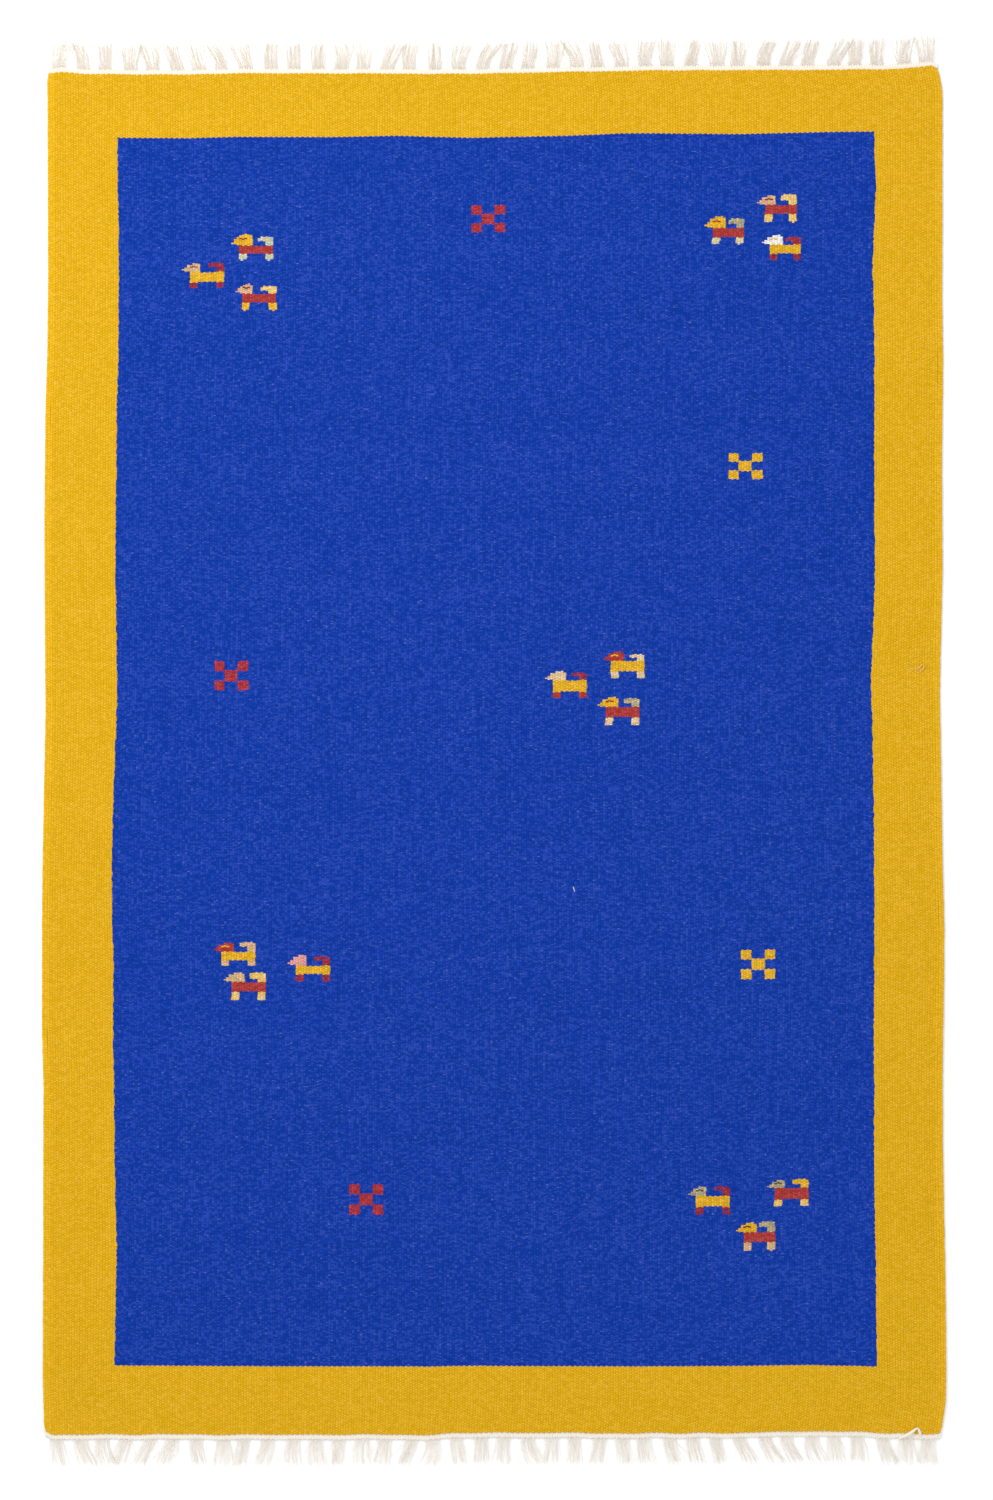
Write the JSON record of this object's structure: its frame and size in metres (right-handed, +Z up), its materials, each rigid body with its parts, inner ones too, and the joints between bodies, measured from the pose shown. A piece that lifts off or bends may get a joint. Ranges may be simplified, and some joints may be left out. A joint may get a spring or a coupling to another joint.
{
  "type": "rug",
  "caption": "Handwoven flatweave rug, blue field scattered with small horses and crosses in a yellow border, fringed at both ends, lying flat.",
  "frame": {"origin": "middle of the rug's underside, on the floor it lies on", "axes": "+X across the rug to the right, +Y along the warps to the end the horses' backs face, +Z up out of the upper face"},
  "size_m": [1.2, 1.903, 0.004],
  "materials": {
    "wool_blue": "weft-faced wool, royal blue, slightly heathered",
    "wool_yellow": "weft-faced wool, golden yellow",
    "wool_red": "weft-faced wool, madder red",
    "wool_tan": "weft-faced wool, undyed tan heather",
    "wool_pink": "weft-faced wool, pink and tan heather",
    "wool_grey": "weft-faced wool, grey and tan heather",
    "wool_white": "weft-faced wool, natural white",
    "wool_mint": "weft-faced wool, pale green and cream heather",
    "wool_brown": "weft-faced wool, dark brown",
    "cotton_white": "plain cotton weave, bleached",
    "cotton_warp": "plied cotton warp yarn, natural"
  },
  "bodies": {
    "root": {"field": "wool_blue", "border_left": "wool_yellow", "border_right": "wool_yellow", "border_top": "wool_yellow", "border_bottom": "wool_yellow", "selvedge_left": "wool_yellow", "selvedge_right": "wool_yellow", "end_web_top": "cotton_white", "end_web_bottom": "cotton_white", "fringe_top": "cotton_warp", "fringe_bottom": "cotton_warp", "warps": "cotton_warp", "crosses_red": "wool_red", "crosses_yellow": "wool_yellow", "horse_eyes": "wool_brown", "horse_01_head": "wool_yellow", "horse_01_body": "wool_red", "horse_01_tail_and_legs": "wool_mint", "horse_02_head": "wool_tan", "horse_02_body": "wool_yellow", "horse_02_tail_and_legs": "wool_red", "horse_03_head": "wool_pink", "horse_03_body": "wool_red", "horse_03_tail_and_legs": "wool_yellow", "horse_04_head": "wool_yellow", "horse_04_body": "wool_red", "horse_04_tail_and_legs": "wool_mint", "horse_05_head": "wool_pink", "horse_05_body": "wool_red", "horse_05_tail_and_legs": "wool_yellow", "horse_06_head": "wool_white", "horse_06_body": "wool_yellow", "horse_06_tail_and_legs": "wool_red", "horse_07_head": "wool_pink", "horse_07_body": "wool_yellow", "horse_07_tail_and_legs": "wool_red", "horse_08_head": "wool_red", "horse_08_body": "wool_yellow", "horse_08_tail_and_legs": "wool_tan", "horse_09_head": "wool_yellow", "horse_09_body": "wool_red", "horse_09_tail_and_legs": "wool_tan", "horse_10_head": "wool_red", "horse_10_body": "wool_yellow", "horse_10_tail_and_legs": "wool_tan", "horse_11_head": "wool_tan", "horse_11_body": "wool_red", "horse_11_tail_and_legs": "wool_yellow", "horse_12_head": "wool_pink", "horse_12_body": "wool_yellow", "horse_12_tail_and_legs": "wool_red", "horse_13_head": "wool_grey", "horse_13_body": "wool_yellow", "horse_13_tail_and_legs": "wool_red", "horse_14_head": "wool_grey", "horse_14_body": "wool_red", "horse_14_tail_and_legs": "wool_yellow", "horse_15_head": "wool_yellow", "horse_15_body": "wool_red", "horse_15_tail_and_legs": "wool_tan"}
  },
  "joints": []
}
